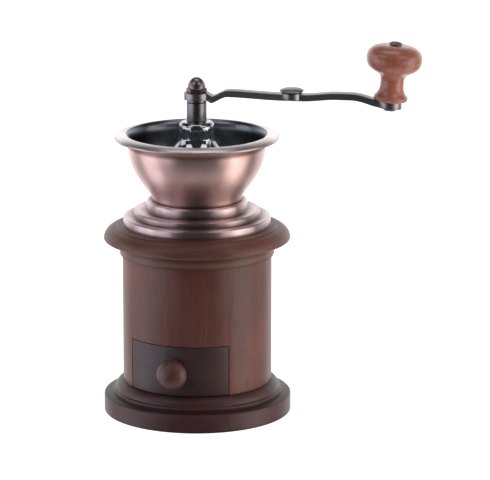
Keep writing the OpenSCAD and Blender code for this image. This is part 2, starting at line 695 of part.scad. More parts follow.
base_pad();
base_plinth();
base_screws();
body_tube();
drawer_rails();
chute_board();
top_ring();
collar_screws();
collar();
outer_burr();
burr_screws();
bearing_bar();
bearing_bar_screws();
lower_bushing();
hopper_bowl();
bridge();
bridge_screws();
upper_bushing();
spring();
adjusting_nut();
lock_washer();
shaft();
spring_collar();
inner_burr();
burr_nut();
crank_arm();
boss_cap();
cap_nut();
knob_pin();
knob_washer();
crank_knob();
drawer_front();
drawer_sides();
drawer_back();
drawer_bottom();
drawer_pull();
pull_screw();
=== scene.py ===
import json
import math

import bpy
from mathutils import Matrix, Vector


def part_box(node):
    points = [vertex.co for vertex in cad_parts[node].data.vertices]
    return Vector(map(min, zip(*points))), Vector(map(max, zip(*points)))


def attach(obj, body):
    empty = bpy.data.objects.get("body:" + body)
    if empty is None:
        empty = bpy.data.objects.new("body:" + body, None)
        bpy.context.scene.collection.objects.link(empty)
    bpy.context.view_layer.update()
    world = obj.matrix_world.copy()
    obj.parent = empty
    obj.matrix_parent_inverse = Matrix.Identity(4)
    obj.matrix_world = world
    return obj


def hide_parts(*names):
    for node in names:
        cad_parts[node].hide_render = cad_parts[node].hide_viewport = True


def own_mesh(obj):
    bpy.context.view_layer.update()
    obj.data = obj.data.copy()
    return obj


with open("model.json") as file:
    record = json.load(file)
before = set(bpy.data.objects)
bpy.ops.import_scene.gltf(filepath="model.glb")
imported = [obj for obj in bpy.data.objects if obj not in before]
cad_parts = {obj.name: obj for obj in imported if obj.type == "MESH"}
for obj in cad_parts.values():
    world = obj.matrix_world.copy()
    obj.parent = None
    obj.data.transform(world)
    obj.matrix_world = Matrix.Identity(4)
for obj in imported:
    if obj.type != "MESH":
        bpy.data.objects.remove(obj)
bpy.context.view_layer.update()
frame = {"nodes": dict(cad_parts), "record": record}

MM = 0.001

# How round work is turned, merged and softened
TURN_STEPS = 160
PULL_STEPS = 96
KNOB_STEPS = 128
SAME_POINT = 1e-6
SAME_CAD_POINT = 2e-6
FLAT_ANGLE = math.radians(0.5)
SHARP_ANGLE = math.radians(35)
EDGE_SEGMENTS = 3

# Measures that pieces share
BASE_LEDGE_SHARE = 0.59
BASE_STEP_SHARE = 0.44
RING_BEAD_SHARE = 0.54
BOWL_WALL_INSET = 7.7 * MM
BOWL_WALL_DROP = 7 * MM
BOWL_FOOT_INSET = 21.1 * MM
BOWL_SHEET = 1.4 * MM
BOWL_FLOOR = 1.5 * MM
BURR_TO_BOWL_THROAT = 12.9 * MM
BURR_TO_COLLAR_RECESS = 5.3 * MM
COLLAR_RECESS_TO_THROAT = 7.6 * MM
COLLAR_STEP_1 = 4.8 * MM
COLLAR_STEP_2 = 8.3 * MM
COLLAR_LEDGE = 5.9 * MM
COLLAR_TOP_LEDGE = 3.1 * MM
KNOB_RADIUS = 15.65 * MM
KNOB_HEIGHT = 31.6 * MM
KNOB_FOOT = 2.4 * MM
KNOB_BORE = 2.56 * MM
KNOB_LEAN = math.radians(5)
CRANK_ANGLE = math.radians(7)

# Camera and lights
CAMERA_AZIMUTH = math.radians(17)
CAMERA_ELEVATION = math.radians(13.55)
CAMERA_DISTANCE = 2.043
CAMERA_LENS = 264.5
CAMERA_SENSOR = 36
CAMERA_AIM_ASIDE = 0.0272
CAMERA_AIM_HEIGHT = 0.0991
LIGHT_HEIGHT = 0.1
LIGHT_AIM_HEIGHT = 0.11
FLOOR_SIZE = 12


# ---- shapes ----------------------------------------------------------------

def arc(centre_r, centre_z, size_r, size_z, start, end, count=10):
    """Points along part of an ellipse, from one angle in degrees to another."""
    angles = [math.radians(start + (end - start) * i / count) for i in range(count + 1)]
    return [(centre_r + size_r * math.cos(a), centre_z + size_z * math.sin(a)) for a in angles]


def sweep(a, b, c, d, count=12):
    """Points along a smooth curve that starts towards b and arrives from c."""
    points = []
    for i in range(count + 1):
        t = i / count
        s = 1 - t
        weights = (s ** 3, 3 * s * s * t, 3 * s * t * t, t ** 3)
        points.append(tuple(sum(w * p[k] for w, p in zip(weights, (a, b, c, d))) for k in (0, 1)))
    return points


def begin():
    """Leaves edit mode with nothing selected."""
    if bpy.context.object and bpy.context.object.mode != "OBJECT":
        bpy.ops.object.mode_set(mode="OBJECT")
    bpy.ops.object.select_all(action="DESELECT")


def pick(piece):
    """Makes one piece the only selected one."""
    begin()
    piece.select_set(True)
    bpy.context.view_layer.objects.active = piece


def soften(piece, width):
    """Rounds the sharp edges of a piece, if a width is given, and shades the rest smooth."""
    pick(piece)
    if width:
        bevel = piece.modifiers.new("Bevel", "BEVEL")
        bevel.width = width
        bevel.segments = EDGE_SEGMENTS
        bevel.limit_method = "ANGLE"
        bevel.angle_limit = SHARP_ANGLE
        bevel.use_clamp_overlap = True
        bpy.ops.object.modifier_apply(modifier=bevel.name)
    bpy.ops.object.shade_smooth_by_angle(angle=SHARP_ANGLE)


def turned(name, outline, edge=0.25 * MM, steps=TURN_STEPS):
    """Turns an outline of (radius, height) points round the Z axis into a closed shape."""
    begin()
    bpy.ops.mesh.primitive_plane_add(size=MM, location=(0, 0, 0))
    piece = bpy.context.object
    piece.name = name
    bpy.ops.object.mode_set(mode="EDIT")
    bpy.ops.mesh.select_all(action="SELECT")
    bpy.ops.mesh.merge(type="CENTER")
    bpy.ops.transform.translate(value=(outline[0][0], 0, outline[0][1]))
    for (r0, z0), (r1, z1) in zip(outline, outline[1:]):
        bpy.ops.mesh.extrude_region_move(TRANSFORM_OT_translate={"value": (r1 - r0, 0, z1 - z0)})
    bpy.ops.mesh.select_all(action="SELECT")
    bpy.ops.mesh.spin(steps=steps, angle=2 * math.pi, center=(0, 0, 0), axis=(0, 0, 1))
    bpy.ops.mesh.select_all(action="SELECT")
    bpy.ops.mesh.remove_doubles(threshold=SAME_POINT)
    bpy.ops.mesh.normals_make_consistent(inside=False)
    bpy.ops.object.mode_set(mode="OBJECT")
    soften(piece, edge)
    return piece


def placed(piece, location, rotation):
    """Turns and moves a piece, then puts its place into its mesh."""
    pick(piece)
    piece.rotation_mode = "XYZ"
    piece.rotation_euler = rotation
    piece.location = location
    bpy.ops.object.transform_apply(location=True, rotation=True, scale=True)
    return piece


def refined(node, name, edge):
    """A merged copy of a CAD node, with its sharp edges rounded."""
    source = frame["nodes"][node]
    piece = bpy.data.objects.new(name, source.data.copy())
    bpy.context.scene.collection.objects.link(piece)
    piece.data.materials.clear()
    pick(piece)
    bpy.ops.object.mode_set(mode="EDIT")
    bpy.ops.mesh.select_all(action="SELECT")
    bpy.ops.mesh.remove_doubles(threshold=SAME_CAD_POINT)
    bpy.ops.mesh.dissolve_limited(angle_limit=FLAT_ANGLE)
    bpy.ops.object.mode_set(mode="OBJECT")
    soften(piece, edge)
    return piece


def stands_for(piece, node, body, material):
    """Hands a piece its body, its material and the CAD node it replaces."""
    if material:
        piece.data.materials.clear()
        piece.data.materials.append(material)
    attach(piece, body)
    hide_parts(node)


def joint(name):
    """One joint of the record."""
    return next(j for j in frame["record"]["behaviour"]["joints"] if j["name"] == name)


# ---- shader nodes ------------------------------------------------------------

class Wire:
    """A shader value that takes part in sums like a number."""

    def __init__(self, sheet, socket):
        self.sheet = sheet
        self.socket = socket

    def math(self, operation, *others):
        return self.sheet.add("ShaderNodeMath", {"operation": operation}, [self, *others])[0]

    def __add__(self, other):
        return self.math("ADD", other)

    def __sub__(self, other):
        return self.math("SUBTRACT", other)

    def __mul__(self, other):
        return self.math("MULTIPLY", other)

    def __rsub__(self, other):
        return self.sheet.add("ShaderNodeMath", {"operation": "SUBTRACT"}, [other, self])[0]

    __radd__ = __add__
    __rmul__ = __mul__

    def clamp(self):
        return self.sheet.add("ShaderNodeClamp", {}, [self])[0]

    def between(self, low, high, at_low=0.0, at_high=1.0):
        """One value below low and another above high, smooth between them."""
        return self.sheet.add("ShaderNodeMapRange", {"interpolation_type": "SMOOTHSTEP"},
                              [self, low, high, at_low, at_high])[0]


class Sheet:
    """The nodes of one material, or of the surroundings."""

    def __init__(self, owner):
        self.owner = owner
        owner.use_nodes = True
        self.tree = owner.node_tree
        self.tree.nodes.clear()
        coordinates = self.add("ShaderNodeTexCoord", {}, [])
        self.outlook, self.place = coordinates[0], coordinates[3]

    def add(self, kind, settings, values):
        """Adds a node: settings first, then a list or a dict of socket values and links."""
        node = self.tree.nodes.new(kind)
        for key, value in settings.items():
            setattr(node, key, value)
        pairs = values.items() if isinstance(values, dict) else enumerate(values)
        for key, value in pairs:
            if isinstance(value, Wire):
                self.tree.links.new(value.socket, node.inputs[key])
            else:
                node.inputs[key].default_value = value
        return [Wire(self, socket) for socket in node.outputs]

    def stretch(self, scale, location=(0, 0, 0)):
        """Object coordinates, squeezed or moved."""
        return self.add("ShaderNodeMapping", {},
                        {"Vector": self.place, "Scale": scale, "Location": location})[0]

    def noise(self, vector, scale, detail, rough, distort=0.0):
        return self.add("ShaderNodeTexNoise", {}, {"Vector": vector, "Scale": scale, "Detail": detail,
                                                   "Roughness": rough, "Distortion": distort})[0]

    def mix(self, share, a, b):
        """Mixes two colours."""
        return self.add("ShaderNodeMix", {"data_type": "RGBA"},
                        {0: share, 6: a if isinstance(a, Wire) else (*a, 1),
                         7: b if isinstance(b, Wire) else (*b, 1)})[2]

    def axes(self):
        """Object coordinates as three separate values."""
        return self.add("ShaderNodeSeparateXYZ", {}, [self.place])

    def bump(self, height, strength, depth):
        return self.add("ShaderNodeBump", {},
                        {"Height": height, "Strength": strength, "Distance": depth})[0]

    def surface(self, **sockets):
        """Ends a material in one Principled shader."""
        values = {key.replace("_", " "): value for key, value in sockets.items()}
        for key, value in values.items():
            if isinstance(value, tuple):
                values[key] = (*value, 1)
        shader = self.add("ShaderNodeBsdfPrincipled", {}, values)[0]
        self.add("ShaderNodeOutputMaterial", {}, [shader])
        return self.owner


def new_sheet(name):
    """An empty material."""
    return Sheet(bpy.data.materials.new(name))


def shaded(colour, factor):
    """A colour made darker or lighter by a factor."""
    return tuple(factor * value for value in colour)


def per_axis(chosen, on_axis, elsewhere):
    """One scale on the chosen axis and another on the other two."""
    return tuple(on_axis if axis == chosen else elsewhere for axis in "XYZ")


def wood(name, dark, light, along, gloss=0.4, coat=0.35, warm=(0.0, 0.0, 0.0), strip=None,
         coat_rough=0.45, painted_shade_bands=()):
    """Varnished fine-grained wood.

    Along is the axis of its grain, and strip is a band of heights with thin varnish. Each painted shade
    band is the height, reach and strength of a line of painted shade, where shadow falls in a groove or at a
    joint.
    """
    sheet = new_sheet(name)
    fibres = sheet.noise(sheet.stretch(per_axis(along, 0.035, 1.0)), 900.0, 6.0, 0.62)
    bands = sheet.noise(sheet.stretch(per_axis(along, 0.12, 1.0)), 95.0, 3.0, 0.5, 0.6)
    drift = sheet.noise(sheet.place, 22.0, 2.0, 0.5)
    pores = sheet.noise(sheet.stretch(per_axis(along, 0.045, 1.0), (3, 1, 2)), 2300.0, 2.0, 0.5)
    pores = pores.between(0.6, 0.72)
    share = (fibres * 0.5 + bands * 0.95 + drift * 0.35 - 0.4).clamp()
    tone = sheet.mix(share, dark, light)
    tone = sheet.mix(drift.between(0.45, 0.8) * 0.5, tone, tuple(l + w for l, w in zip(light, warm)))
    tone = sheet.mix(pores * 0.55, tone, shaded(dark, 0.35))
    z = sheet.axes()[2]
    if strip:
        inside = z.between(strip[0] - MM, strip[0] + MM) * (1 - z.between(strip[1] - MM, strip[1] + MM))
        tone = sheet.mix(inside * 0.5, tone, (0.3, 0.15, 0.08))
    # Painted shade: the wood is darkened along the given heights, where shadow falls in grooves and joints.
    for height, reach, strength in painted_shade_bands:
        painted_shade_weight = 1 - (z - height).math("ABSOLUTE").between(0.0, reach)
        tone = sheet.mix(painted_shade_weight * strength, tone, shaded(dark, 0.3))
    scuffs = sheet.noise(sheet.place, 260.0, 5.0, 0.6)
    rough = (gloss + fibres * 0.12 + scuffs * 0.1 - 0.1).clamp()
    height = fibres * 0.5 - pores * 0.8 + scuffs * 0.15
    return sheet.surface(Base_Color=tone, Roughness=rough, Coat_Weight=(coat - pores * 0.2).clamp(),
                         Coat_Roughness=coat_rough, Specular_IOR_Level=0.4,
                         Normal=sheet.bump(height, 0.22, 0.0002))


def metal(name, colour, tarnish, rough, brushed="Z", depth=0.12, fine=5200.0):
    """Satin plated metal with fine lines square to one axis and darker patches."""
    sheet = new_sheet(name)
    lines = sheet.noise(sheet.stretch(per_axis(brushed, 1.0, 0.02)), fine, 3.0, 0.6)
    cloud = sheet.noise(sheet.place, 70.0, 4.0, 0.55)
    specks = sheet.noise(sheet.place, 1500.0, 3.0, 0.6)
    share = (cloud.between(0.45, 0.75) * 0.35 + specks.between(0.62, 0.8) * 0.15 + lines * 0.12).clamp()
    tone = sheet.mix(share, colour, tarnish)
    roughness = (rough + lines * 0.12 + cloud * 0.08 - 0.1).clamp()
    return sheet.surface(Base_Color=tone, Metallic=1.0, Roughness=roughness,
                         Normal=sheet.bump(lines + specks * 0.3, depth, 0.00006))


def copper_plate(name, bright, tarnish_and_shade_tone, tarnish_and_shade_corners, lip=None):
    """Antique copper plate, browner round the given corners: painted shade there, with tarnish where
    polishing doesn't reach.

    A corner is its radius, height, reach and strength; lip is the height above which the plate is painted
    pale, a painted highlight on the rim. The polishing lines run round the piece, so a highlight spreads up
    and down it.
    """
    sheet = new_sheet(name)
    x, y, z = sheet.axes()
    radius = (x * x + y * y).math("SQRT")
    lines = sheet.noise(sheet.stretch((0.02, 0.02, 1.0)), 5200.0, 3.0, 0.6)
    cloud = sheet.noise(sheet.place, 60.0, 4.0, 0.55)
    specks = sheet.noise(sheet.place, 1300.0, 3.0, 0.6)
    wear_and_painted_shade = cloud.between(0.4, 0.8) * 0.22 + lines * 0.15 + specks.between(0.62, 0.82) * 0.12
    # Painted shade with tarnish: the plate turns browner towards each given corner.
    for corner_r, corner_z, reach, strength in tarnish_and_shade_corners:
        across, up = radius - corner_r, z - corner_z
        painted_shade_weight = 1 - (across * across + up * up).math("SQRT").between(0.0, reach)
        wear_and_painted_shade = wear_and_painted_shade + painted_shade_weight * strength
    # Painted highlight: above the lip height the plate is mixed towards a pale colour.
    if lip:
        painted_rim_highlight = z.between(lip - 0.4 * MM, lip + 0.8 * MM) * 0.85
        bright = sheet.mix(painted_rim_highlight, bright, (0.93, 0.9, 0.91))
    tone = sheet.mix(wear_and_painted_shade.clamp(), bright, tarnish_and_shade_tone)
    roughness = (0.25 + lines * 0.14 + cloud * 0.08 + wear_and_painted_shade * 0.08).clamp()
    return sheet.surface(Base_Color=tone, Metallic=1.0, Roughness=roughness,
                         Anisotropic=0.7, Anisotropic_Rotation=0.25,
                         Coat_Weight=0.2, Coat_Roughness=0.25,
                         Normal=sheet.bump(lines + specks * 0.25, 0.14, 0.00006))


def black_plate(name, rough, tint):
    """Glossy black plating with faint smears."""
    sheet = new_sheet(name)
    smears = sheet.noise(sheet.stretch((1.0, 1.0, 0.4)), 120.0, 5.0, 0.6)
    dust = sheet.noise(sheet.place, 2200.0, 2.0, 0.5).between(0.66, 0.8)
    tone = sheet.mix(dust * 0.3, tint, (0.16, 0.16, 0.17))
    tone = sheet.mix(smears.between(0.5, 0.8) * 0.4, tone, shaded(tint, 1.5))
    return sheet.surface(Base_Color=tone, Metallic=0.98,
                         Roughness=(rough + smears * 0.08 + dust * 0.15).clamp(),
                         Specular_IOR_Level=0.6, Normal=sheet.bump(smears, 0.04, 0.0002))


def cast_iron(name):
    """Ground cast iron with a grainy surface."""
    sheet = new_sheet(name)
    grains = sheet.noise(sheet.place, 1600.0, 4.0, 0.65)
    cloud = sheet.noise(sheet.place, 90.0, 3.0, 0.5)
    tone = sheet.mix(grains.between(0.35, 0.7), (0.12, 0.12, 0.125), (0.3, 0.3, 0.3))
    tone = sheet.mix(cloud.between(0.55, 0.85) * 0.4, tone, (0.2, 0.15, 0.11))
    return sheet.surface(Base_Color=tone, Metallic=0.9, Roughness=(0.4 + grains * 0.25).clamp(),
                         Normal=sheet.bump(grains, 0.3, 0.0002))


def rubber(name):
    """Matt dark rubber with a fine stipple."""
    sheet = new_sheet(name)
    stipple = sheet.noise(sheet.place, 1100.0, 3.0, 0.6)
    tone = sheet.mix(stipple, (0.012, 0.012, 0.012), (0.035, 0.034, 0.033))
    return sheet.surface(Base_Color=tone, Roughness=(0.75 + stipple * 0.15).clamp(),
                         Normal=sheet.bump(stipple, 0.4, 0.0003))


def pale_paint(name):
    """Even pale paint that shines a little of its own light."""
    return new_sheet(name).surface(Base_Color=(0.8, 0.8, 0.8), Roughness=0.8,
                                   Emission_Color=(1.0, 1.0, 1.0), Emission_Strength=1.0)


# ---- the object's materials ---------------------------------------------------

BODY_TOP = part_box("body_tube")[1][2]
BASE_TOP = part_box("base_plinth")[1][2]
RING_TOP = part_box("top_ring")[1][2]
NECK = (BODY_TOP + 1.4 * MM, BODY_TOP + 3.6 * MM)
# Painted shade lines on the ring and the base, each a height, reach and strength: shadow under the bead, at
# the joints and along the foot of the base.
RING_PAINTED_SHADE = ((BODY_TOP + 5.8 * MM, 2.4 * MM, 0.7), (BODY_TOP + 0.2 * MM, 0.8 * MM, 0.8),
                (RING_TOP, 0.8 * MM, 0.4))
BASE_PAINTED_SHADE = ((BASE_TOP * BASE_LEDGE_SHARE + 0.4 * MM, 1.0 * MM, 0.6), (BASE_TOP, 0.7 * MM, 0.6),
                (0.5 * MM, 1.6 * MM, 0.85))
BODY_WOOD = wood("mahogany_body", (0.085, 0.0275, 0.0215), (0.29, 0.098, 0.073), "Z",
                 warm=(0.075, 0.016, 0.0))
RING_WOOD = wood("mahogany_ring", (0.08, 0.028, 0.02), (0.255, 0.094, 0.066), "X", coat=0.2,
                 warm=(0.06, 0.02, 0.0), strip=NECK, painted_shade_bands=RING_PAINTED_SHADE)
BASE_WOOD = wood("dark_mahogany_base", (0.042, 0.0155, 0.017), (0.14, 0.048, 0.049), "X", coat=0.2,
                 painted_shade_bands=BASE_PAINTED_SHADE)
DRAWER_WOOD = wood("dark_mahogany_drawer", (0.038, 0.02, 0.021), (0.125, 0.062, 0.06), "X")
PULL_WOOD = wood("mahogany_pull", (0.065, 0.024, 0.023), (0.2, 0.072, 0.064), "Y")
KNOB_WOOD = wood("light_mahogany_knob", (0.3, 0.082, 0.052), (0.8, 0.285, 0.185), "Z",
                 gloss=0.32, coat=0.8, warm=(0.08, 0.04, 0.01), coat_rough=0.25)
PLAIN_WOOD = wood("plain_inner_wood", (0.30, 0.17, 0.085), (0.56, 0.37, 0.21), "Y", gloss=0.6, coat=0.0)
IRON = cast_iron("ground_iron")
RUBBER = rubber("pad_rubber")
BRASS = metal("bearing_brass", (0.75, 0.54, 0.25), (0.45, 0.28, 0.1), 0.3)
STEEL = metal("turned_steel", (0.62, 0.62, 0.63), (0.38, 0.37, 0.36), 0.28)
ZINC = metal("zinc_screws", (0.66, 0.66, 0.68), (0.42, 0.42, 0.43), 0.34)
BRONZE = metal("gunmetal_bronze", (0.245, 0.228, 0.24), (0.11, 0.098, 0.102), 0.32, "Z", 0.2, 3200.0)
ARM_BRONZE = metal("brushed_gunmetal", (0.33, 0.31, 0.325), (0.15, 0.135, 0.14), 0.36, "X", 0.2, 3200.0)
NUT_BRONZE = metal("brown_bronze", (0.28, 0.225, 0.235), (0.11, 0.082, 0.084), 0.33, "Z", 0.2, 3200.0)
BLACK_HUB = black_plate("black_nickel_hub", 0.04, (0.42, 0.43, 0.45))
BLACK_BOWL = black_plate("black_nickel_bowl", 0.24, (0.17, 0.182, 0.2))


# ---- visible pieces --------------------------------------------------------------

def make_base():
    """A plain band, a small step and a hollow moulding up to the body, over a recess for the pad."""
    low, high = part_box("base_plinth")
    base_r, bottom, top = high[0], low[2], high[2]
    body_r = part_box("body_tube")[1][0]
    ledge = top * BASE_LEDGE_SHARE
    step_r = body_r + (base_r - body_r) * BASE_STEP_SHARE
    recess_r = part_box("base_pad")[1][0] + 0.2 * MM
    recess_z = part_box("base_pad")[1][2]
    outline = [(0, recess_z), (recess_r, recess_z), (recess_r, bottom), (base_r - 0.7 * MM, bottom)]
    outline += arc(base_r - 0.7 * MM, bottom + 0.7 * MM, 0.7 * MM, 0.7 * MM, -90, 0)[1:]
    outline += arc(base_r - 1.2 * MM, ledge - 1.2 * MM, 1.2 * MM, 1.2 * MM, 0, 90)
    outline += [(base_r - 1.8 * MM, ledge + 0.3 * MM), (step_r + 1.1 * MM, ledge + 0.3 * MM)]
    outline += arc(step_r, ledge + 1.5 * MM, 1.1 * MM, 1.2 * MM, -40, 90)
    outline += sweep((step_r - 0.3 * MM, ledge + 2.9 * MM), (step_r - 0.6 * MM, ledge + 5.4 * MM),
                     (body_r + 2.6 * MM, top - 0.8 * MM), (body_r + MM, top), 16)
    outline += [(0, top)]
    stands_for(turned("turned_base", outline), "base_plinth", "grinder", BASE_WOOD)


def make_top_ring():
    """A neck on the body's edge, a broad bead above it, and a bore for the outer burr."""
    low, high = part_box("top_ring")
    ring_r, top = high[0], high[2]
    body_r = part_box("body_tube")[1][0]
    foot = BODY_TOP
    spigot_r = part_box("chute_board")[1][0]
    bore_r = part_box("outer_burr")[1][0] + 0.6 * MM
    bead = foot + (top - foot) * RING_BEAD_SHARE
    neck_r = body_r + 1.5 * MM
    outline = [(bore_r, low[2]), (spigot_r, low[2]), (spigot_r, foot), (body_r + 0.3 * MM, foot)]
    outline += arc(neck_r - 0.6 * MM, foot + 0.6 * MM, 0.6 * MM, 0.6 * MM, -90, 0)
    outline += [(neck_r, bead - 4.4 * MM), (neck_r + 0.6 * MM, bead - 2.6 * MM)]
    outline += arc(body_r + 3.7 * MM, bead, ring_r - body_r - 3.7 * MM, 1.7 * MM, -90, 0, 14)
    outline += arc(body_r + 2.9 * MM, bead, ring_r - body_r - 2.9 * MM, top - bead - 1.4 * MM, 0, 90, 20)[1:]
    outline += [(body_r + 2.6 * MM, top), (bore_r, top), (bore_r, low[2])]
    stands_for(turned("turned_ring", outline), "top_ring", "grinder", RING_WOOD)


def step_edge(radius, low, high, round_r):
    """One riser of the collar with a rounded shoulder."""
    return [(radius, low)] + arc(radius - round_r, high - round_r, round_r, round_r, 0, 90, 8)


def make_collar():
    """Three rounded steps, with painted shade and tarnish at the foot and in each corner."""
    low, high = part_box("collar")
    bottom, top, step_r = low[2], high[2], high[0]
    foot_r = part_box("hopper_bowl")[1][0] - BOWL_FOOT_INSET
    burr_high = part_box("outer_burr")[1]
    burr_r = burr_high[0] - BURR_TO_COLLAR_RECESS
    throat_r = burr_r - COLLAR_RECESS_TO_THROAT
    step_1, step_2 = bottom + COLLAR_STEP_1, bottom + COLLAR_STEP_2
    outline = [(burr_r + 0.4 * MM, bottom)]
    outline += step_edge(step_r, bottom, step_1, 1.3 * MM)
    outline += step_edge(step_r - COLLAR_LEDGE, step_1, step_2, 1.2 * MM)
    outline += step_edge(foot_r + COLLAR_TOP_LEDGE, step_2, top, 1.6 * MM)
    outline += [(throat_r, top), (throat_r, burr_high[2]), (burr_r + 0.4 * MM, burr_high[2]),
                (burr_r + 0.4 * MM, bottom)]
    # Painted shade with tarnish at the collar's foot, in each step's corner and round the bowl's foot.
    tarnish_and_shade_corners = [(step_r + MM, bottom, 1.8 * MM, 0.8), (step_r - COLLAR_LEDGE, step_1, 4.6 * MM, 0.75),
               (foot_r + COLLAR_TOP_LEDGE, step_2, 4.6 * MM, 0.75), (foot_r, top, 3.0 * MM, 0.9)]
    finish = copper_plate("antique_copper_collar", (0.74, 0.565, 0.57), (0.16, 0.1, 0.1), tarnish_and_shade_corners)
    stands_for(turned("stepped_collar", outline, 0.2 * MM), "collar", "grinder", finish)


def bowl_outline(low, high, throat_r):
    """The bowl's closed outline: outside up to the rim, and back down the inside."""
    rim_r, base, height = high[0], low[2], high[2] - low[2]
    wall_r, foot_r, wall_z = rim_r - BOWL_WALL_INSET, rim_r - BOWL_FOOT_INSET, high[2] - BOWL_WALL_DROP
    wall = sweep((foot_r, base), (foot_r + 0.3 * MM, base + height * 0.177),
                 (wall_r - 0.6 * MM, base + height * 0.354), (wall_r, wall_z), 40)
    lip = sweep((wall_r + 0.1 * MM, wall_z + 1.2 * MM), (wall_r + 0.4 * MM, high[2] - 4.2 * MM),
                (rim_r - 5 * MM, high[2] - 3.9 * MM), (rim_r - 0.7 * MM, high[2] - 2.9 * MM), 12)
    edge = arc(rim_r - 0.7 * MM, high[2] - 2.2 * MM, 0.7 * MM, 0.7 * MM, -60, 60, 8)
    crown = sweep((rim_r - 0.7 * MM, high[2] - 1.4 * MM), (rim_r - 2.4 * MM, high[2] - 0.2 * MM),
                  (rim_r - 4.8 * MM, high[2]), (rim_r - 6.6 * MM, high[2]), 12)
    slope = sweep((rim_r - 7.2 * MM, high[2] - 0.4 * MM), (rim_r - 8.4 * MM, high[2] - 1.2 * MM),
                  (wall_r - BOWL_SHEET, wall_z + 3 * MM), (wall_r - BOWL_SHEET, wall_z + 0.6 * MM), 12)
    inside = [(r - BOWL_SHEET, z) for r, z in wall[40:2:-1]]
    floor = [(foot_r - BOWL_SHEET - MM, base + BOWL_FLOOR), (throat_r, base + BOWL_FLOOR),
             (throat_r, base)]
    return [(throat_r, base)] + wall + lip + edge + crown + slope + inside + floor


def make_bowl():
    """The spun bowl: copper outside and over the rim, black inside."""
    low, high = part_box("hopper_bowl")
    throat_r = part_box("outer_burr")[1][0] - BURR_TO_BOWL_THROAT
    piece = turned("spun_bowl", bowl_outline(low, high, throat_r), 0.15 * MM)
    rim_r = high[0]
    # Painted shade with tarnish at the bowl's foot and under the lip, and painted shade on the lip's outer
    # edge.
    tarnish_and_shade_corners = [(rim_r - BOWL_FOOT_INSET, low[2], 2.0 * MM, 0.7),
               (rim_r - BOWL_WALL_INSET, high[2] - 6 * MM, 2.6 * MM, 0.8),
               (rim_r - 0.4 * MM, high[2] - 2.4 * MM, 2.2 * MM, 0.45)]
    # The rim's top, above the last height given here, carries a painted highlight.
    outside = copper_plate("antique_copper_bowl", (0.82, 0.555, 0.515), (0.22, 0.115, 0.1), tarnish_and_shade_corners,
                           high[2] - 2.6 * MM)
    piece.data.materials.append(outside)
    piece.data.materials.append(BLACK_BOWL)
    for face in piece.data.polygons:
        inward = face.normal.x * face.center.x + face.normal.y * face.center.y < -1e-6
        is_floor = face.normal.z > 0.8 and face.center.z < low[2] + 3 * MM
        face.material_index = 1 if inward or is_floor else 0
    stands_for(piece, "hopper_bowl", "grinder", None)


def make_pull():
    """The drawer's turned pull, laid on its side."""
    low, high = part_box("drawer_pull")
    pull_r = (high[0] - low[0]) / 2
    length = high[1] - low[1]
    wide = length * 0.44
    foot_r = pull_r * 0.64
    outline = [(0, 0), (foot_r, 0), (foot_r, 0.9 * MM)]
    outline += sweep((foot_r - 0.4 * MM, 1.5 * MM), (foot_r - 0.2 * MM, 2.6 * MM),
                     (pull_r, wide - 3.2 * MM), (pull_r, wide), 14)
    outline += sweep((pull_r, wide), (pull_r, wide + 3.6 * MM), (pull_r * 0.55, length), (0, length), 24)[1:]
    piece = turned("turned_pull", outline, 0.2 * MM, PULL_STEPS)
    placed(piece, (0, high[1], (low[2] + high[2]) / 2), (math.pi / 2, 0, 0))
    stands_for(piece, "drawer_pull", "drawer", PULL_WOOD)


def make_knob():
    """The crank's knob: a foot ring, a waist and a broad round head, bored for its pin."""
    waist_r, waist_z, wide_z = KNOB_RADIUS * 0.42, KNOB_HEIGHT * 0.36, KNOB_HEIGHT * 0.765
    outline = [(KNOB_BORE, 0), (KNOB_RADIUS * 0.52, 0)]
    outline += arc(KNOB_RADIUS * 0.53, 1.6 * MM, KNOB_RADIUS * 0.085, 1.6 * MM, -80, 60)
    outline += sweep((KNOB_RADIUS * 0.54, 3.6 * MM), (KNOB_RADIUS * 0.44, 5.6 * MM),
                     (waist_r, waist_z - 4.2 * MM), (waist_r, waist_z))
    outline += sweep((waist_r, waist_z), (waist_r, waist_z + 6.4 * MM), (KNOB_RADIUS, wide_z - 9.2 * MM),
                     (KNOB_RADIUS, wide_z), 24)[1:]
    outline += sweep((KNOB_RADIUS, wide_z), (KNOB_RADIUS, wide_z + 5.4 * MM),
                     (KNOB_RADIUS * 0.66, KNOB_HEIGHT), (KNOB_RADIUS * 0.25, KNOB_HEIGHT), 24)[1:]
    outline += [(KNOB_BORE, KNOB_HEIGHT), (KNOB_BORE, 0)]
    outline = [(r, z + KNOB_FOOT) for r, z in outline]
    piece = turned("turned_knob", outline, 0.2 * MM, KNOB_STEPS)
    placed(piece, joint("knob_spin")["pos_m"], (0, KNOB_LEAN, CRANK_ANGLE))
    stands_for(piece, "crank_knob", "knob", KNOB_WOOD)


def make_refined():
    """Pieces whose CAD shape is right, with rounded edges added."""
    rows = [("body_tube", "wooden_body", "grinder", "body_wood", BODY_WOOD, 0.5),
            ("drawer_front", "drawer_face", "drawer", "drawer_wood", DRAWER_WOOD, 0.7),
            ("bridge", "hopper_bridge", "grinder", "dark_nickel", BLACK_HUB, 0.25),
            ("adjusting_nut", "adjuster_sleeve", "adjuster", "dark_bronze", BRONZE, 0.15),
            ("lock_washer", "keyed_washer_ring", "keyed_washer", "dark_bronze", BRONZE, 0.12),
            ("crank_arm", "crank_bar", "rotor", "dark_bronze", ARM_BRONZE, 0.55),
            ("boss_cap", "arm_cap", "rotor", "dark_bronze", ARM_BRONZE, 0.2),
            ("cap_nut", "domed_nut", "rotor", "dark_bronze", NUT_BRONZE, 0.25),
            ("knob_pin", "knob_rivet", "rotor", "dark_bronze", BRONZE, 0.15)]
    for node, name, body, slot, material, edge in rows:
        stands_for(refined(node, name, edge * MM), node, body, material)


